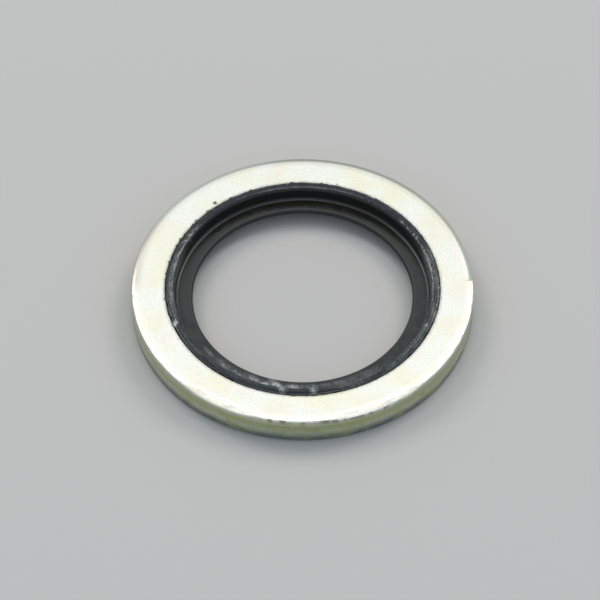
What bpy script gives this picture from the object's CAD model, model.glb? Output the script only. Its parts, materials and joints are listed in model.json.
"""A self-centring bonded sealing washer: a flat zinc-plated steel ring with a nitrile rubber seal in its bore.

Sections are drawn in the x-z plane to the right of the axis and turned round Z. Angles are in degrees,
anticlockwise from +X as seen from above, so 90 is the far side and 270 the near side. Lengths are in
millimetres until MM turns them into metres.
"""

import json
import math

import bpy
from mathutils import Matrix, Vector, noise


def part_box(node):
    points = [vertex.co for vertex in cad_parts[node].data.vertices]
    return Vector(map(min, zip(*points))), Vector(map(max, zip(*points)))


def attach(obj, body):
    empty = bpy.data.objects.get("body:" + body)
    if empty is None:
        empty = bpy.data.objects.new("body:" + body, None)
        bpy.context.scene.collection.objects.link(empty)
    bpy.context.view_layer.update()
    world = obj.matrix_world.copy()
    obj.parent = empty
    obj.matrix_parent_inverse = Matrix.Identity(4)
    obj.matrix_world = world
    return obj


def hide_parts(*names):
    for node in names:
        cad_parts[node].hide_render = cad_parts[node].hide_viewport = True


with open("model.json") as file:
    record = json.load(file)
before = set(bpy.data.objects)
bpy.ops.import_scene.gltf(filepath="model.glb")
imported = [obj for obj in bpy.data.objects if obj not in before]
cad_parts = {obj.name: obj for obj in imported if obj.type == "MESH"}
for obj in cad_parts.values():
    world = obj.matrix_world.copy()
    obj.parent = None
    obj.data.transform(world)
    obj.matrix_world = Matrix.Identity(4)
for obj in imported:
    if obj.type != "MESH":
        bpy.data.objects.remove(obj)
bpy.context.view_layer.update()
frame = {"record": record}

MM = 0.001

# --------------------------------------------------------------------------------------------------
# Sizes: the two CAD solids give the outer ones
# --------------------------------------------------------------------------------------------------
RING_LOW, RING_HIGH = (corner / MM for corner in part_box("steel_ring"))
SEAL_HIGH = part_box("rubber_seal")[1] / MM
BORE_MOUNT = next(m for m in frame["record"]["mounts"] if m["name"] == "thread_bore")

RIM = RING_HIGH.x  # outer radius of the steel
UPPER_FACE = RING_HIGH.z
LOWER_FACE = RING_LOW.z
CREST = SEAL_HIGH.z  # the crests of the two lips
BOND_FACE = SEAL_HIGH.x  # where the chamfers of the steel's bore meet its flat faces
WEB_BORE = BORE_MOUNT["dims"]["r_mm"]
MIDDLE = (UPPER_FACE + LOWER_FACE) / 2

FACE_HALF = UPPER_FACE - MIDDLE
BORE_CHAMFER = 0.10
BOND_BORE = BOND_FACE - BORE_CHAMFER  # the steel's bore between its two chamfers

# The steel's upper outer edge. A stretch is two angles and, as a third number, how soft its ends are
EDGE_ZONE = 0.70  # the width inside which the edge takes its shape
EDGE_FLATTEN = 0.5  # its reach downwards, as a share of that
EDGE_SEGMENTS = 14
EDGE_SLOPE_SHARE = 0.7  # of the rows on the edge, how many its slope has before the corner
EDGE_BEND = 1.25  # the power by which the slope steepens outwards
EDGE_RUN = 0.12  # the plain edge: how far its slope reaches inwards,
EDGE_DROP = 0.025  # how far it falls,
EDGE_CORNER = 0.06  # and the small corner that ends it
ROLLED_RUN = 0.36  # the far half, which the die rolled over
ROLLED_DROP = 0.07
STEP_DROP = 0.18  # deeper just past the step where the roll starts,
STEP_FADES = (14, 48)  # and back to its usual depth between these angles
ROLL_STEPS = (3.0, 3.6)  # the roll starts with a step between these angles
ROLL_FADES = (165, 190)  # and runs out slowly between these
BATTERED_RUN = 0.68  # stretches that were knocked down
BATTERED_DROP = 0.17
BATTERED_RIM = ((228, 251), (282, 311))
BATTERED_SOFT = 4.0  # how soft their ends are
BATTERED_WANDER = 1.5  # degrees by which their ends stray
NICKS = 0.4  # share of the full depth that the nicks have,
MORE_NICKS = 0.2  # and what is added to it
MOST_NICKED = (254, 288, 3)  # in this stretch
NICK_INWARDS = 0.06  # the full depth of a nick
NICK_DOWN = 0.05
DULL_BY_THE_STEP = 0.45  # how dull the roll is there, where it is 1 further on
DULL_REACH = (ROLLED_RUN + 0.08, ROLLED_RUN - 0.12)  # how far in from the rim it is gone, and full
PALER_ROLL = (102, 150, 10)  # a stretch that is less dull,
PALER_BY = 0.35  # by this much
DULL_BETWEEN_SMEARS = 0.12  # how dull the knocked-down stretches are,
SMEARS_DULLER_BY = 0.5  # and what is added in their smears
SMEAR_REACH = (0.66, 0.40)  # how far in from the rim these are gone, and full
DIRTY_EDGE = (255, 305, 5)  # a stretch with dark specks
DIRT_REACH = (0.115, 0.09)  # how far in from the rim they are gone, and full,
DIRT_DEPTH = (0.30, 0.18)  # and how far down from the upper face
DIRT_LENGTH = 0.5  # length of the specks
DIRT_WIDTH = 0.09

# The steel's wall
LOWER_ROLL = 0.16  # the round of the lower outer edge
LOWER_SEGMENTS = 6
SHEAR_DEPTH = 0.62  # from the upper face down to where the sheared wall tears
SHEAR_WANDER = 0.08  # how far that line strays,
SHEAR_SOFT = 0.03  # and how soft it is
TEAR_DEPTH = 0.012  # how far back the torn part lies, and about how uneven it is

# The rubber's section
BEAD = 0.21  # radius of the web's round inner edge
FOOT = 8.85  # where the lips rise from the web
FOOT_HALF = 0.125  # half the web's thickness there
SHOULDER = 8.94  # top of the steep inner flank of a lip
SHOULDER_DROP = 0.084  # below the crest
CREST_INNER = 9.147
CREST_OUTER = 9.27
PEAK = 9.25  # the middle of the crest, once its corners are round
GROOVE = 9.45
GROOVE_DEPTH = 0.02
FILM = 9.545  # the rubber ends in a film that stops over the chamfer,
FILM_THICKNESS = 0.006  # this much above the flat of the steel

# The ragged edge of that film, its flash, which strays out over the flat of the steel
FLASH_SCALLOPS = 0.055  # how far it strays, in scallops,
FLASH_TEETH = 0.06  # in finer teeth,
FLASH_SWELL = 0.025  # and slowly
FLASH_COARSENESS = 1.1  # multiplies the first two
COARSER_FLASH = ((0.4, 55, 195, 5), (0.8, 125, 200, 8))  # what is added to that, and in which stretches
LONGER_FLASH = (252, 285, 12)  # a stretch that reaches further,
LONGER_FLASH_BY = 0.04  # by this much
FLASH_TONGUES = ((6.8, 0.07, 0.25), (75.6, 0.32, 0.28), (316.8, 0.06, 0.5))  # angle, length, width in degrees

# The marks on the lips and the web
PITTED_LIP = (8, 42, 3)  # a stretch of the crests that is pitted
PITTED_ELSEWHERE = 0.2
PIT_DEPTH = 0.035
FIBROUS_LIP = (140, 205, 6)  # a stretch that the trimming tore into slanting fibres
FIBROUS_ELSEWHERE = 0.4
FIBRE_DEPTH = 0.006
FIBRE_SLANT = 26  # degrees a millimetre
CREST_WAVES = 0.012
WEB_WAVES = 0.006  # slow waves across the web,
WEB_RIPPLES = 0.003  # quicker ones,
BORE_WAVES = 0.008  # and those of its inner edge
UNDERSIDE_TURN = 80  # degrees by which the underside's marks are turned, so that they aren't a mirror image

SCUFFS = (  # pale marks on the upper side: angle, radius, length along, width across, slant, strength
    (146.0, 9.26, 0.30, 0.18, 1.2, 0.25),
    (149.5, 9.24, 0.35, 0.18, 1.0, 0.3),
    (153.5, 9.20, 0.60, 0.16, 0.6, 0.35),
    (163.0, 9.16, 1.20, 0.14, 0.1, 0.3),
    (200.0, 9.37, 0.42, 0.32, 0.3, 1.2),
    (218.3, 8.24, 0.90, 0.28, 0.0, 0.22),
    (228.4, 8.28, 0.80, 0.34, 0.3, 0.4),
    (236.0, 8.24, 1.60, 0.24, 0.1, 0.3),
    (245.5, 8.16, 0.90, 0.34, 0.2, 0.45),
    (251.5, 8.30, 0.95, 0.32, 0.1, 0.7),
    (258.2, 8.30, 1.10, 0.46, 0.5, 0.9),
    (260.8, 9.02, 0.50, 0.54, 0.6, 0.9),
    (265.8, 8.20, 0.90, 0.32, 0.1, 0.55),
    (274.8, 9.08, 0.40, 0.60, 0.0, 0.6),
    (274.8, 8.28, 0.50, 0.40, 0.0, 0.5),
    (337.7, 9.22, 0.35, 0.20, 0.0, 0.5),
)
SCUFFED_BANDS = (  # stretches dulled all over: start and end angle, inner and outer radius, strength
    (222, 312, 8.02, 8.55, 0.08),
    (283, 342, 8.92, 9.42, 0.08),
    (203, 262, 8.92, 9.42, 0.03),
    (343, 380, 8.86, 9.60, 0.13),
    (160, 198, 8.86, 9.36, 0.11),
)
BAND_ENDS = 6  # how soft the ends of these are, in degrees,
BAND_SIDES = 0.06  # and their sides, in millimetres

TURNS = 720  # steps of each full turn
CLOSE_ROWS = 0.065  # spacing of the rows on what shows most
WIDE_ROWS = 0.16  # and elsewhere
SLACK = 0.01  # how far a vertex may lie from the line of the section that it counts as on
NEAR = 0.004  # how close a vertex or the middle of an edge has to be to a place to be chosen there
EXACT = 0.0001  # the same where neighbours lie close
WELD = 0.001  # vertices closer than this are merged
RING_SHARP = 35  # an edge that turns by more degrees than this stays sharp
SEAL_SHARP = 40
NOISE_GAIN = 1.6  # brings Blender's noise to about -1 to 1
NEXT_LAYER = Vector((17.3, 5.1, 9.7))  # from one layer of noise to the next


# --------------------------------------------------------------------------------------------------
# Modelling
# --------------------------------------------------------------------------------------------------
def start_section(name, radius, low, high, next_station):
    """A plane stood up in x-z between the first two stations of a section, opened for editing."""
    next_radius, next_low, next_high = next_station
    bpy.ops.object.select_all(action="DESELECT")
    bpy.ops.mesh.primitive_plane_add(size=1, location=(0, 0, 0))
    piece = bpy.context.object
    piece.name = name
    piece.data.name = name
    bpy.ops.object.mode_set(mode="EDIT")
    bpy.ops.mesh.select_all(action="SELECT")
    bpy.ops.transform.rotate(value=math.radians(90), orient_axis="X", center_override=(0, 0, 0))
    size = ((next_radius - radius) * MM, 1, (high - low) * MM)
    bpy.ops.transform.resize(value=size, center_override=(0, 0, 0))
    bpy.ops.transform.translate(value=((radius + next_radius) / 2 * MM, 0, (low + high) / 2 * MM))
    choose(piece, "EDGE", at(next_radius, (low + high) / 2))
    stretch = (next_high - next_low) / (high - low)
    centre = (next_radius * MM, 0, (low + high) / 2 * MM)
    bpy.ops.transform.resize(value=(1, 1, stretch), center_override=centre)
    return piece


def choose(piece, kind, test):
    """Selects only the vertices, or the edges by their middles, that pass a test of radius and height."""
    bpy.ops.mesh.select_all(action="DESELECT")
    bpy.ops.mesh.select_mode(type=kind)
    bpy.ops.object.mode_set(mode="OBJECT")
    mesh = piece.data
    if kind == "VERT":
        for vertex in mesh.vertices:
            vertex.select = test(vertex.co.x / MM, vertex.co.z / MM)
    else:
        for edge in mesh.edges:
            middle = (mesh.vertices[edge.vertices[0]].co + mesh.vertices[edge.vertices[1]].co) / 2
            edge.select = test(middle.x / MM, middle.z / MM)
    bpy.ops.object.mode_set(mode="EDIT")


def at(radius, height, reach=NEAR):
    """The test for one place of a section."""
    return lambda r, z: math.hypot(r - radius, z - height) < reach


def grow(piece, stations):
    """Extrudes the section's outer edge from station to station, each a radius with its low and high ends."""
    for (radius, low, high), (next_radius, next_low, next_high) in zip(stations, stations[1:]):
        choose(piece, "EDGE", at(radius, (low + high) / 2))
        shift = ((next_radius - radius) * MM, 0, ((next_low + next_high) - (low + high)) / 2 * MM)
        bpy.ops.mesh.extrude_region_move(TRANSFORM_OT_translate={"value": shift})
        centre = (next_radius * MM, 0, (next_low + next_high) / 2 * MM)
        stretch = (next_high - next_low) / (high - low)
        bpy.ops.transform.resize(value=(1, 1, stretch), center_override=centre)
    bpy.ops.mesh.select_all(action="SELECT")
    bpy.ops.mesh.dissolve_faces()


def round_corner(piece, radius, height, size, segments, flatten=1.0):
    """Rounds one corner of the section. With flatten under 1 the round reaches less far down than along."""
    choose(piece, "VERT", at(radius, height))
    if flatten != 1.0:
        bpy.ops.mesh.select_all(action="SELECT")
        centre = (radius * MM, 0, height * MM)
        bpy.ops.transform.resize(value=(1, 1, 1 / flatten), center_override=centre)
        choose(piece, "VERT", at(radius, height))
    bpy.ops.mesh.bevel(offset=size * MM, segments=segments, affect="VERTICES", profile=0.5)
    if flatten != 1.0:
        bpy.ops.mesh.select_all(action="SELECT")
        bpy.ops.transform.resize(value=(1, 1, flatten), center_override=centre)


def keep_outline(piece):
    """Takes the face out of the section, which leaves its outline."""
    bpy.ops.mesh.select_mode(type="FACE")
    bpy.ops.mesh.select_all(action="SELECT")
    bpy.ops.mesh.delete(type="ONLY_FACE")


def divide(piece, longest, test):
    """Divides each edge of the outline that passes the test into parts no longer than given."""
    bpy.ops.object.mode_set(mode="OBJECT")
    mesh = piece.data
    middles = {}
    for edge in mesh.edges:
        start, end = (mesh.vertices[i].co / MM for i in edge.vertices)
        middle = (start + end) / 2
        cuts = math.ceil((start - end).length / longest) - 1
        if cuts > 0 and test(middle.x, middle.z):
            middles.setdefault(cuts, []).append((middle.x, middle.z))
    bpy.ops.object.mode_set(mode="EDIT")
    for cuts, places in middles.items():
        choose(piece, "EDGE", lambda r, z: any(at(a, b, EXACT)(r, z) for a, b in places))
        bpy.ops.mesh.subdivide(number_cuts=cuts)


def turn_section(piece):
    """Turns the outline once round Z."""
    bpy.ops.object.mode_set(mode="OBJECT")
    turn = piece.modifiers.new("turn", "SCREW")
    turn.axis = "Z"
    turn.angle = math.tau
    turn.steps = TURNS
    turn.render_steps = TURNS
    turn.use_merge_vertices = True
    turn.merge_threshold = WELD * MM
    bpy.ops.object.modifier_apply(modifier="turn")
    bpy.ops.object.mode_set(mode="EDIT")
    bpy.ops.mesh.select_mode(type="VERT")
    bpy.ops.mesh.select_all(action="SELECT")
    bpy.ops.mesh.remove_doubles(threshold=WELD * MM)
    bpy.ops.mesh.normals_make_consistent(inside=False)
    bpy.ops.object.mode_set(mode="OBJECT")


def work(piece, rule):
    """Moves each vertex. The rule takes radius, angle and height and gives the new radius and height."""
    for vertex in piece.data.vertices:
        x, y, z = vertex.co / MM
        angle = math.degrees(math.atan2(y, x)) % 360
        radius, height = rule(math.hypot(x, y), angle, z)
        turn = math.radians(angle)
        vertex.co = Vector((radius * math.cos(turn), radius * math.sin(turn), height)) * MM
    piece.data.update()


def paint(piece, name, rule):
    """Keeps a value on each vertex for the material. The rule takes radius, angle and height."""
    layer = piece.data.attributes.new(name, "FLOAT", "POINT")
    for vertex, slot in zip(piece.data.vertices, layer.data):
        x, y, z = vertex.co / MM
        slot.value = rule(math.hypot(x, y), math.degrees(math.atan2(y, x)) % 360, z)


def finish_piece(piece, node, material, sharp):
    """Shades the piece, gives it its material and ties it to its body and its CAD node."""
    bpy.ops.object.select_all(action="DESELECT")
    piece.select_set(True)
    bpy.context.view_layer.objects.active = piece
    bpy.ops.object.shade_smooth_by_angle(angle=math.radians(sharp))
    piece.data.materials.clear()
    piece.data.materials.append(material)
    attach(piece, "root")
    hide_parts(node)


# --------------------------------------------------------------------------------------------------
# Materials
# --------------------------------------------------------------------------------------------------
# Sizes of their patterns. The crystals of the zinc, the grain of the rubber and the lines of a sheared wall
# are 0.01 to 0.03 mm, too fine for the render, so the four marked "coarser" are drawn at a size that shows.
STRAW_PATCHES = 2.6  # the passivate's two faint tints
PINK_PATCHES = 1.3
ZINC_MOTTLE = 0.12  # coarser
ZINC_GRAIN = 0.10  # coarser
BOND_EDGE = 0.3  # the uneven edge of the bonding agent that dulls the steel beside the rubber
BOND_REACH = 0.32  # and how far past the film it goes
SHEAR_LINES = 0.11  # coarser
SHEAR_DRAWN = 0.12  # their scale down the wall, as a share of that round it, which draws them out
SHEAR_SWAY = 1.3  # the sway of the bands of colour
WALL_PATCHES = 0.9
RUBBER_GRAIN = 0.07  # coarser
RUBBER_PORES = 0.2
TRIM_STREAKS = (0.9, 0.10)  # marks of the trimming knife: length and width
WEB_MOTTLE = 1.1
SCUFF_CRUMBS = 0.18
RELIEF = 0.012  # depth of the finest unevenness, on both

FACE_PIT = (128.7, 9.87)  # a dark pit in the upper face: angle and radius
FACE_PIT_EDGE = 0.21  # from its middle out to where it ends
FACE_PIT_FLOOR = 0.07  # and to where it is darkest
SHEARED_WALL = (  # the wall's colour from the upper face, 0, to the lower one, 1
    (0.0, "#DEDECB"), (0.2, "#CED1B5"), (0.3, "#C0CCA4"), (0.45, "#C4D0A0"), (0.55, "#D6DFC4"),
    (0.68, "#CDD3BC"), (0.78, "#A8B0A3"), (0.88, "#8A9493"), (1.0, "#7C868A"),
)


def linear(code):
    """An sRGB hex colour as the linear one that a shader takes."""
    parts = [int(code[i:i + 2], 16) / 255 for i in (1, 3, 5)]
    return [p / 12.92 if p <= 0.04045 else ((p + 0.055) / 1.055) ** 2.4 for p in parts] + [1.0]


def add_node(tree, kind, inputs=(), out=0, **settings):
    """Adds one shader node with its settings and gives one of its outputs.

    The inputs stand in the node's own order, or in a dict by name or number. Each is a number, a vector, an
    sRGB hex colour or another node's output.
    """
    node = tree.nodes.new("ShaderNode" + kind)
    for name, value in settings.items():
        setattr(node, name, value)
    for key, value in inputs.items() if isinstance(inputs, dict) else enumerate(inputs):
        if isinstance(value, bpy.types.NodeSocket):
            tree.links.new(value, node.inputs[key])
        else:
            node.inputs[key].default_value = linear(value) if isinstance(value, str) else value
    return node.outputs[out] if node.outputs else None


def new_material(name):
    """A material with nothing in it yet, and its node tree."""
    material = bpy.data.materials.new(name)
    material.use_nodes = True
    material.node_tree.nodes.clear()
    return material, material.node_tree


def radius_and_height(tree, place):
    """The distance from the washer's axis, and the height, both in metres."""
    apart = add_node(tree, "SeparateXYZ", [place]).node.outputs
    flat = add_node(tree, "CombineXYZ", [apart["X"], apart["Y"]])
    return add_node(tree, "VectorMath", [flat], out="Value", operation="LENGTH"), apart["Z"]


def flow(tree, place, radius, along, across):
    """Coordinates for noise that is drawn out along the circumference, to a length and width in millimetres."""
    flat = add_node(tree, "VectorMath", [place, (1.0, 1.0, 0.0)], operation="MULTIPLY")
    unit = add_node(tree, "VectorMath", [flat], operation="NORMALIZE")
    ring = add_node(tree, "VectorMath", {0: unit, "Scale": PEAK / along}, operation="SCALE")
    row = add_node(tree, "Math", [radius, across * MM], operation="DIVIDE")
    lift = add_node(tree, "CombineXYZ", {"Z": row})
    return add_node(tree, "VectorMath", [ring, lift])


def bright_zinc_plate():
    """Bright zinc electroplate with a clear passivate, on blanked mild steel.

    To the eye it is a pale satin metal, faintly straw and pink in patches. It is dull beside the rubber,
    where the bonding agent ran, and on the rolled edge. The sheared wall is olive, and greyer where it tore.
    """
    material, tree = new_material("bright_zinc_plate_on_blanked_steel")
    place = add_node(tree, "TexCoord", out="Object")
    radius, height = radius_and_height(tree, place)

    straw = add_node(tree, "TexNoise", {"Vector": place, "Scale": 1 / (STRAW_PATCHES * MM)})
    straw = add_node(tree, "MapRange", [straw, 0.42, 0.68])
    pink = add_node(tree, "TexNoise", {"Vector": place, "Scale": 1 / (PINK_PATCHES * MM), "Detail": 1.0})
    pink = add_node(tree, "MapRange", [pink, 0.52, 0.72, 0.0, 0.6])
    mottle = add_node(tree, "TexNoise", {"Vector": place, "Scale": 1 / (ZINC_MOTTLE * MM)})
    mottle = add_node(tree, "MapRange", [mottle, 0.35, 0.7])
    face = add_node(tree, "Mix", {0: straw, 6: "#F4F4EB", 7: "#F2EFCB"}, out=2, data_type="RGBA")
    face = add_node(tree, "Mix", {0: pink, 6: face, 7: "#F5E9DE"}, out=2, data_type="RGBA")
    face = add_node(tree, "Mix", {0: mottle, 6: face, 7: "#DFE2D6"}, out=2, data_type="RGBA")

    turn = math.radians(FACE_PIT[0])
    middle = (FACE_PIT[1] * math.cos(turn) * MM, FACE_PIT[1] * math.sin(turn) * MM, UPPER_FACE * MM)
    pit = add_node(tree, "VectorMath", [place, middle], out="Value", operation="DISTANCE")
    pit = add_node(tree, "MapRange", [pit, FACE_PIT_EDGE * MM, FACE_PIT_FLOOR * MM])
    face = add_node(tree, "Mix", {0: pit, 6: face, 7: "#5E5A52"}, out=2, data_type="RGBA")

    ragged = add_node(tree, "TexNoise", {"Vector": place, "Scale": 1 / (BOND_EDGE * MM)})
    ragged = add_node(tree, "MapRange", [ragged, 0.3, 0.7, -0.12, 0.12])
    bond = add_node(tree, "MapRange", [radius, (FILM + BOND_REACH) * MM, (FILM - 0.02) * MM])
    bond = add_node(tree, "Math", [bond, ragged])
    bond = add_node(tree, "Math", [bond, 2.0], operation="POWER", use_clamp=True)
    face = add_node(tree, "Mix", {0: bond, 6: face, 7: "#767974"}, out=2, data_type="RGBA")

    drawn = add_node(tree, "Mapping", {"Vector": place, "Scale": (1.0, 1.0, SHEAR_DRAWN)})
    shear = add_node(tree, "TexNoise", {"Vector": drawn, "Scale": 1 / (SHEAR_LINES * MM), "Detail": 3.0})
    sway = add_node(tree, "TexNoise", {"Vector": drawn, "Scale": 1 / (SHEAR_SWAY * MM)})
    sway = add_node(tree, "MapRange", [sway, 0.3, 0.7, -0.04, 0.04])
    depth = add_node(tree, "MapRange", [height, UPPER_FACE * MM, LOWER_FACE * MM])
    depth = add_node(tree, "Math", [depth, sway])
    side = add_node(tree, "ValToRGB", [depth])
    stops = side.node.color_ramp.elements
    stops[0].color = linear(SHEARED_WALL[0][1])
    stops[1].color = linear(SHEARED_WALL[-1][1])
    for stop, colour in SHEARED_WALL[1:-1]:
        stops.new(stop).color = linear(colour)
    patches = add_node(tree, "TexNoise", {"Vector": place, "Scale": 1 / (WALL_PATCHES * MM)})
    patches = add_node(tree, "MapRange", [patches, 0.5, 0.68, 0.0, 0.8])
    side = add_node(tree, "Mix", {0: patches, 6: side, 7: "#C2CB90"}, out=2, data_type="RGBA")
    lines = add_node(tree, "MapRange", [shear, 0.35, 0.7, 0.0, 0.25])
    side = add_node(tree, "Mix", {0: lines, 6: side, 7: "#97A18E"}, out=2, data_type="RGBA")

    wall = add_node(tree, "MapRange", [radius, (RIM - 0.05) * MM, (RIM - 0.02) * MM])
    bare = add_node(tree, "Attribute", out="Fac", attribute_name="bare_edge")
    dirt = add_node(tree, "Attribute", out="Fac", attribute_name="edge_dirt")
    face = add_node(tree, "Mix", {0: bare, 6: face, 7: "#B4B4A8"}, out=2, data_type="RGBA")
    colour = add_node(tree, "Mix", {0: wall, 6: face, 7: side}, out=2, data_type="RGBA")
    colour = add_node(tree, "Mix", {0: dirt, 6: colour, 7: "#94978A"}, out=2, data_type="RGBA")

    grain = add_node(tree, "TexNoise", {
        "Vector": place, "Scale": 1 / (ZINC_GRAIN * MM), "Detail": 4.0, "Roughness": 0.6})
    marks = add_node(tree, "Mix", {0: wall, 2: grain, 3: shear})
    bump = add_node(tree, "Bump", {"Height": marks, "Strength": 0.5, "Distance": RELIEF * MM})
    rough = add_node(tree, "MapRange", [wall, 0.0, 1.0, 0.38, 0.24])
    shader = add_node(tree, "BsdfPrincipled", {
        "Base Color": colour, "Metallic": 1.0, "Roughness": rough, "Normal": bump})
    add_node(tree, "OutputMaterial", {"Surface": shader})
    return material


def moulded_nitrile():
    """Compression-moulded nitrile rubber, black.

    To the eye it is satin, slightly blue on the lips, where it was trimmed, and greener on the web. It is
    matt on the web's round inner edge, at the foot of the lips and in the torn film. Its scuffs are pale.
    """
    material, tree = new_material("moulded_nitrile_rubber")
    place = add_node(tree, "TexCoord", out="Object")
    radius, _ = radius_and_height(tree, place)
    lip = add_node(tree, "MapRange", [radius, (SHOULDER - 0.07) * MM, (SHOULDER + 0.03) * MM])

    scuff = add_node(tree, "Attribute", out="Fac", attribute_name="scuff")
    crumbs = add_node(tree, "TexNoise", {"Vector": place, "Scale": 1 / (SCUFF_CRUMBS * MM), "Detail": 3.0})
    crumbs = add_node(tree, "MapRange", [crumbs, 0.35, 0.65, 0.2, 1.9])
    scuffed = add_node(tree, "Math", [scuff, crumbs], operation="MULTIPLY", use_clamp=True)
    rubber = add_node(tree, "Mix", {0: lip, 6: "#19180F", 7: "#0D1215"}, out=2, data_type="RGBA")
    colour = add_node(tree, "Mix", {0: scuffed, 6: rubber, 7: "#B8BFB8"}, out=2, data_type="RGBA")

    grain = add_node(tree, "TexNoise", {
        "Vector": place, "Scale": 1 / (RUBBER_GRAIN * MM), "Detail": 3.0, "Roughness": 0.65})
    grain = add_node(tree, "MapRange", [grain, 0.0, 1.0, 0.0, 0.12])
    pores = add_node(tree, "TexNoise", {"Vector": place, "Scale": 1 / (RUBBER_PORES * MM)})
    pores = add_node(tree, "MapRange", [pores, 0.3, 0.7, 0.0, 0.5])
    streaks = add_node(tree, "TexNoise", {"Vector": flow(tree, place, radius, *TRIM_STREAKS), "Scale": 1.0})
    ridges = add_node(tree, "MapRange", [streaks, 0.3, 0.7])
    uneven = add_node(tree, "Math", [pores, ridges])
    relief = add_node(tree, "Mix", {0: lip, 2: grain, 3: uneven})
    bump = add_node(tree, "Bump", {"Height": relief, "Strength": 0.5, "Distance": RELIEF * MM})

    mottle = add_node(tree, "TexNoise", {"Vector": place, "Scale": 1 / (WEB_MOTTLE * MM), "Detail": 3.0})
    web_rough = add_node(tree, "MapRange", [mottle, 0.35, 0.65, 0.22, 0.32])
    lip_rough = add_node(tree, "MapRange", [streaks, 0.35, 0.65, 0.08, 0.22])
    rough = add_node(tree, "Mix", {0: lip, 2: web_rough, 3: lip_rough})
    torn = add_node(tree, "MapRange", [radius, (GROOVE - 0.03) * MM, (GROOVE + 0.04) * MM])
    bead = add_node(tree, "MapRange", [radius, (WEB_BORE + 0.25) * MM, (WEB_BORE + 0.1) * MM])
    before_foot = add_node(tree, "MapRange", [radius, (FOOT - 0.10) * MM, (FOOT - 0.02) * MM, 0.0, 0.5])
    past_foot = add_node(tree, "MapRange", [radius, (FOOT + 0.10) * MM, (FOOT + 0.03) * MM])
    foot = add_node(tree, "Math", [before_foot, past_foot], operation="MULTIPLY")
    matt = add_node(tree, "Math", [torn, bead])
    matt = add_node(tree, "Math", [matt, foot])
    rough = add_node(tree, "Mix", {0: matt, 2: rough, 3: 0.6})

    shader = add_node(tree, "BsdfPrincipled", {
        "Base Color": colour, "Roughness": rough, "IOR": 1.55, "Specular Tint": "#F2F9FC", "Normal": bump})
    add_node(tree, "OutputMaterial", {"Surface": shader})
    return material


def matt_card():
    """Uncoated grey card: to the eye an even, dull ground that takes the shadow and mirrors nothing."""
    material, tree = new_material("matt_grey_card")
    shader = add_node(tree, "BsdfPrincipled", {
        "Base Color": "#C2C0BC", "Roughness": 0.9, "Specular IOR Level": 0.0})
    add_node(tree, "OutputMaterial", {"Surface": shader})
    return material


# --------------------------------------------------------------------------------------------------
# The pieces
# --------------------------------------------------------------------------------------------------
def make_steel_ring():
    """The flat ring. The rows of its large upper round are what wear_of_the_ring gives their shape."""
    stations = [
        (BOND_BORE, LOWER_FACE + BORE_CHAMFER, UPPER_FACE - BORE_CHAMFER),
        (BOND_FACE, LOWER_FACE, UPPER_FACE),
        (RIM, LOWER_FACE, UPPER_FACE)]
    piece = start_section("steel_ring_finish", *stations[0], stations[1])
    grow(piece, stations[1:])
    round_corner(piece, RIM, UPPER_FACE, EDGE_ZONE, EDGE_SEGMENTS, flatten=EDGE_FLATTEN)
    round_corner(piece, RIM, LOWER_FACE, LOWER_ROLL, LOWER_SEGMENTS)
    keep_outline(piece)
    divide(piece, CLOSE_ROWS, lambda r, z: z > MIDDLE or r > RIM - SLACK)
    divide(piece, WIDE_ROWS, lambda r, z: z < MIDDLE and r > BOND_FACE)
    turn_section(piece)
    return piece


def fade(value, start, end):
    """0 at start and before, 1 at end and past it, and smooth between. The end may be the smaller one."""
    t = min(max((value - start) / (end - start), 0.0), 1.0)
    return t * t * (3 - 2 * t)


def stretch_of(angle, start, end, soft):
    """1 between two angles and 0 outside them, with soft ends. It serves for radii too."""
    return fade(angle, start - soft, start + soft) * (1 - fade(angle, end - soft, end + soft))


def grit(radius, angle, height, size, layer):
    """Smooth noise on the surface, about -1 to 1, with features of about the size given. Each layer differs."""
    turn = math.radians(angle)
    place = Vector((radius * math.cos(turn), radius * math.sin(turn), height))
    return NOISE_GAIN * noise.noise(place / size + NEXT_LAYER * layer)


def fibre(radius, angle, along, across, slant, layer):
    """Noise drawn out along the circumference. With a slant, in degrees a millimetre, it runs across it."""
    turn = math.radians(angle + slant * (radius - PEAK))
    ring = PEAK / along
    place = Vector((ring * math.cos(turn), ring * math.sin(turn), radius / across + 11 * layer))
    return NOISE_GAIN * noise.noise(place)


def rolled_share(angle):
    """1 where the edge was rolled over by the die, 0 where it stayed sharp."""
    return fade(angle, *ROLL_STEPS) * (1 - fade(angle, *ROLL_FADES))


def battered_share(angle):
    """1 where the edge was knocked down, 0 elsewhere."""
    return max(stretch_of(angle, *span, BATTERED_SOFT) for span in BATTERED_RIM)


def along_the_edge(radius):
    """Where a vertex lies on the rounded outer edge of the section: 0 on the face and 1 on the wall."""
    return math.asin(min(max(1 - (RIM - radius) / EDGE_ZONE, 0.0), 1.0)) / (math.pi / 2)


def nick_at(angle):
    """How deeply the upper edge is nicked, most of all on the near side."""
    nicked = NICKS + MORE_NICKS * stretch_of(angle, *MOST_NICKED)
    depth = max(0.0, grit(RIM, angle, UPPER_FACE, size=0.35, layer=1) - 0.1)
    return nicked * depth * (1 - rolled_share(angle))


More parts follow.
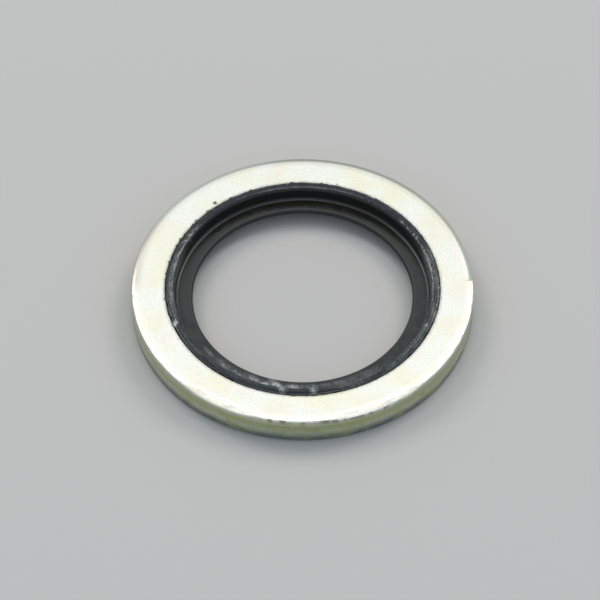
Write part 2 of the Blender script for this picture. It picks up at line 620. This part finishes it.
def wear_of_the_ring(radius, angle, height):
    """The upper edge is rolled, sharp and nicked, or knocked down in turn. The wall is torn lower down."""
    if height > UPPER_FACE - EDGE_ZONE * EDGE_FLATTEN - SLACK and radius > RIM - EDGE_ZONE:
        rolled = rolled_share(angle)
        battered = battered_share(angle + BATTERED_WANDER * grit(RIM, angle, UPPER_FACE, size=0.9, layer=3))
        run = EDGE_RUN + (ROLLED_RUN - EDGE_RUN) * rolled + (BATTERED_RUN - EDGE_RUN) * battered
        rolled_drop = STEP_DROP + (ROLLED_DROP - STEP_DROP) * fade(angle, *STEP_FADES)
        drop = EDGE_DROP + (rolled_drop - EDGE_DROP) * rolled + (BATTERED_DROP - EDGE_DROP) * battered
        along = along_the_edge(radius)
        slope = min(along / EDGE_SLOPE_SHARE, 1.0)
        corner = max(along - EDGE_SLOPE_SHARE, 0.0) / (1 - EDGE_SLOPE_SHARE)
        nick = nick_at(angle) * slope
        inwards = EDGE_CORNER + (run - EDGE_CORNER) * (1 - slope)
        radius = RIM - inwards * (1 - corner) - NICK_INWARDS * nick
        height = UPPER_FACE - drop * slope ** EDGE_BEND - EDGE_CORNER * corner - NICK_DOWN * nick
    elif radius > RIM - SLACK:
        tear_line = UPPER_FACE - SHEAR_DEPTH + SHEAR_WANDER * grit(RIM, angle, 0, size=1.1, layer=2)
        torn = fade(tear_line - height, -SHEAR_SOFT, SHEAR_SOFT)
        drawn = height / 4  # makes the unevenness four times as long down the wall
        radius -= torn * (TEAR_DEPTH + TEAR_DEPTH * abs(grit(RIM, angle, drawn, size=0.22, layer=4)))
    return radius, height


def flash_reach(angle, side):
    """How far the flash reaches past its usual edge: ragged, with a few longer tongues on the upper side."""
    coarse = FLASH_COARSENESS + sum(more * stretch_of(angle, *stretch) for more, *stretch in COARSER_FLASH)
    scallops = FLASH_SCALLOPS * grit(FILM, angle, 0, size=0.35, layer=side)
    teeth = FLASH_TEETH * grit(FILM, angle, 0, size=0.24, layer=14 + side)
    reach = coarse * (scallops + teeth) + FLASH_SWELL * grit(FILM, angle, 0, size=1.7, layer=2 + side)
    reach += LONGER_FLASH_BY * stretch_of(angle, *LONGER_FLASH)
    for place, length, width in FLASH_TONGUES if side > 0 else ():
        reach += length * math.exp(-((angle - place) / width) ** 2)
    return reach


def marks_of_the_mould(radius, angle, height):
    """Ragged flash on the steel, crests roughened by trimming, and a slightly wavy web."""
    side = 1 if height > MIDDLE else -1
    level = abs(height - MIDDLE)
    if radius > GROOVE and level > FACE_HALF - GROOVE_DEPTH - SLACK:
        radius += flash_reach(angle, side) * (radius - GROOVE) / (FILM - GROOVE)
    elif radius > SHOULDER + SLACK:
        turned = angle if side > 0 else angle + UNDERSIDE_TURN
        pitted = stretch_of(turned, *PITTED_LIP) + PITTED_ELSEWHERE
        fibrous = stretch_of(turned, *FIBROUS_LIP)
        strands = fibre(radius, angle, along=1.4, across=0.18, slant=FIBRE_SLANT * fibrous, layer=6)
        level -= PIT_DEPTH * pitted * max(0.0, grit(radius, angle, 0, size=0.2, layer=5) - 0.05)
        level -= FIBRE_DEPTH * max(0.0, 1 + strands) * (FIBROUS_ELSEWHERE + fibrous)
        radius += CREST_WAVES * grit(radius, angle, 0, size=0.5, layer=7)
    elif radius < FOOT:
        level += WEB_WAVES * grit(radius, angle, height, size=2.4, layer=8)
        level += WEB_RIPPLES * grit(radius, angle, height, size=0.5, layer=9)
        radius += BORE_WAVES * grit(radius, angle, 0, size=1.3, layer=10)
    return radius, MIDDLE + side * level


def scuff_at(radius, angle, height):
    """How scuffed the rubber is: pale marks on the upper side only."""
    if height <= MIDDLE:
        return 0.0
    value = 0.0
    for place, middle, length, width, slant, strength in SCUFFS:
        along = math.radians(angle - place) * middle
        out = radius - middle - slant * along
        if abs(along) < 2 * length and abs(out) < 2 * width:
            value = max(value, strength * math.exp(-(2 * along / length) ** 2 - (2 * out / width) ** 2))
    for start, end, inner, outer, strength in SCUFFED_BANDS:
        share = max(stretch_of(turn, start, end, BAND_ENDS) for turn in (angle, angle + 360))
        share *= stretch_of(radius, inner, outer, BAND_SIDES)
        if share > 0:
            strands = fibre(radius, angle, along=1.6, across=0.20, slant=16, layer=13)
            value = max(value, share * strength * (1 + 0.9 * strands))
    return value


def bare_edge(radius, angle, height):
    """Where the roll left the plating thin and dull, and the smears where the edge was knocked down."""
    if height < MIDDLE:
        return 0.0
    inwards = RIM - radius
    dulled = DULL_BY_THE_STEP + (1 - DULL_BY_THE_STEP) * fade(angle, *STEP_FADES)
    dulled -= PALER_BY * stretch_of(angle, *PALER_ROLL)
    dulled *= rolled_share(angle) * fade(inwards, *DULL_REACH)
    strands = fibre(radius, angle, along=0.7, across=0.09, slant=8, layer=15)
    smeared = DULL_BETWEEN_SMEARS + SMEARS_DULLER_BY * fade(strands, -0.1, 0.7)
    smeared *= battered_share(angle) * fade(inwards, *SMEAR_REACH)
    return max(dulled, smeared)


def edge_dirt(radius, angle, height):
    """Dark specks in the nicked part of the upper edge.

    They stop short of the long faces that follow the edge inwards, which would draw them out into stripes.
    """
    inwards, down = RIM - radius, UPPER_FACE - height
    if height < MIDDLE or inwards > DIRT_REACH[0]:
        return 0.0
    turn = math.radians(angle)
    ring = RIM / DIRT_LENGTH
    place = Vector((ring * math.cos(turn), ring * math.sin(turn), (inwards + down) / DIRT_WIDTH + 5))
    edge = fade(inwards, *DIRT_REACH) * fade(down, *DIRT_DEPTH)
    return stretch_of(angle, *DIRTY_EDGE) * edge * fade(noise.noise(place), -0.05, 0.35)


def make_rubber_seal():
    """The web, the two lips and their films, as one section."""
    film_half = UPPER_FACE + FILM_THICKNESS - MIDDLE
    outline = [  # radius, half the height there, and the round of that corner with its segments
        (WEB_BORE, BEAD, 0.2, 7),
        (WEB_BORE + BEAD, BEAD, 0, 0),
        (FOOT, FOOT_HALF, 0.2, 7),
        (SHOULDER, CREST - SHOULDER_DROP - MIDDLE, 0.116, 7),
        (CREST_INNER, CREST - MIDDLE, 0.1, 4),
        (CREST_OUTER, CREST - MIDDLE, 0.02, 2),
        (GROOVE, UPPER_FACE - GROOVE_DEPTH - MIDDLE, 0.08, 4),
        (FILM, film_half, 0, 0)]
    stations = [(radius, MIDDLE - half, MIDDLE + half) for radius, half, _, _ in outline]
    piece = start_section("rubber_seal_finish", *stations[0], stations[1])
    grow(piece, stations[1:])

    # The last edge is cut in three, and its middle third goes in to the steel's bore between the chamfers
    choose(piece, "EDGE", at(FILM, MIDDLE))
    bpy.ops.mesh.subdivide(number_cuts=2)
    choose(piece, "VERT", lambda r, z: abs(r - FILM) < SLACK and abs(z - MIDDLE) < film_half / 2)
    bpy.ops.transform.translate(value=((BOND_BORE - FILM) * MM, 0, 0))
    stretch = (UPPER_FACE - LOWER_FACE - 2 * BORE_CHAMFER) / (film_half * 2 / 3)
    bpy.ops.transform.resize(value=(1, 1, stretch), center_override=(BOND_BORE * MM, 0, MIDDLE * MM))

    for side in (1, -1):
        for radius, half, size, segments in outline:
            if size:
                round_corner(piece, radius, MIDDLE + side * half, size, segments)
    keep_outline(piece)
    divide(piece, CLOSE_ROWS, lambda r, z: z > MIDDLE and r < BOND_BORE)
    divide(piece, WIDE_ROWS, lambda r, z: z < MIDDLE and r < BOND_BORE)
    turn_section(piece)
    return piece


# --------------------------------------------------------------------------------------------------
# The studio
# --------------------------------------------------------------------------------------------------
FRAME_PX = 600
RING_WIDTH_PX = 342.4  # the outer diameter at the upper face
RING_CENTRE_PX = (302.6, 287.4)  # where the middle of the upper face falls, from the frame's top left
VIEW_ELEVATION = 50.75  # above the horizon, looking along +Y
SENSOR = 36.0
LENS = 300.0
FLOOR_SIZE = 3.0  # metres, as are the lamps' sizes
LAMP_DISTANCE = 0.6
LAMPS = (  # name, azimuth, elevation, width, height, radiance and colour
    ("overhead_softbox", 0, 78, 0.24, 0.24, 2.40, "#FFF7F0"),
    ("rear_softbox", 0, 42, 0.30, 0.17, 0.5, "#FFF6E6"),
    ("right_softbox", 44, 47, 0.20, 0.28, 4.7, "#FFF4E8"),
    ("left_softbox", -44, 47, 0.20, 0.28, 4.7, "#FFF4E8"),
)


def towards(azimuth, elevation):
    """The unit vector to a place seen from the ring: azimuth 0 is behind it, +Y, and 90 to its right."""
    a, e = math.radians(azimuth), math.radians(elevation)
    return Vector((math.sin(a) * math.cos(e), math.cos(a) * math.cos(e), math.sin(e)))


def softbox(name, azimuth, elevation, width, height, radiance, colour):
    """A rectangular lamp aimed at the ring. Its power follows from how bright its face is."""
    lamp = bpy.data.lights.new(name, "AREA")
    lamp.shape = "RECTANGLE"
    lamp.size = width
    lamp.size_y = height
    lamp.energy = radiance * math.pi * width * height
    lamp.color = linear(colour)[:3]
    holder = bpy.data.objects.new(name, lamp)
    bpy.context.scene.collection.objects.link(holder)
    holder.location = towards(azimuth, elevation) * LAMP_DISTANCE
    holder.rotation_euler = (-holder.location).to_track_quat("-Z", "Y").to_euler()


def make_studio():
    """A pale card floor, four softboxes and a faint blue surround."""
    bpy.ops.object.select_all(action="DESELECT")
    bpy.ops.mesh.primitive_plane_add(size=FLOOR_SIZE, location=(0, 0, 0))
    floor = bpy.context.object
    floor.name = "floor"
    floor.data.materials.append(matt_card())
    for lamp in LAMPS:
        softbox(*lamp)
    world = bpy.data.worlds.new("studio")
    bpy.context.scene.world = world
    world.use_nodes = True
    world.node_tree.nodes.clear()
    sky = add_node(world.node_tree, "Background", {"Color": "#E2EFFF", "Strength": 0.68})
    add_node(world.node_tree, "OutputWorld", {"Surface": sky})
    bpy.context.scene.view_settings.view_transform = "Standard"


def make_camera():
    """Places the camera so that the ring falls where RING_CENTRE_PX says, at RING_WIDTH_PX."""
    pixel = 2 * RIM * MM / RING_WIDTH_PX
    e = math.radians(VIEW_ELEVATION)
    ahead = Vector((0, math.cos(e), -math.sin(e)))
    above = Vector((0, math.sin(e), math.cos(e)))
    distance = LENS / SENSOR * FRAME_PX * pixel
    right_by = (RING_CENTRE_PX[0] - FRAME_PX / 2) * pixel
    down_by = (RING_CENTRE_PX[1] - FRAME_PX / 2) * pixel
    camera = bpy.data.cameras.new("camera")
    camera.lens = LENS
    camera.sensor_width = SENSOR
    camera.dof.use_dof = False
    holder = bpy.data.objects.new("camera", camera)
    bpy.context.scene.collection.objects.link(holder)
    face_middle = Vector((0, 0, UPPER_FACE * MM))
    holder.location = face_middle - Vector((right_by, 0, 0)) + above * down_by - ahead * distance
    holder.rotation_euler = ahead.to_track_quat("-Z", "Y").to_euler()
    camera.clip_start = distance / 10
    camera.clip_end = distance * 20
    bpy.context.scene.camera = holder


ring = make_steel_ring()
seal = make_rubber_seal()
work(ring, wear_of_the_ring)
work(seal, marks_of_the_mould)
paint(ring, "bare_edge", bare_edge)
paint(ring, "edge_dirt", edge_dirt)
paint(seal, "scuff", scuff_at)
finish_piece(ring, "steel_ring", bright_zinc_plate(), RING_SHARP)
finish_piece(seal, "rubber_seal", moulded_nitrile(), SEAL_SHARP)
make_studio()
make_camera()
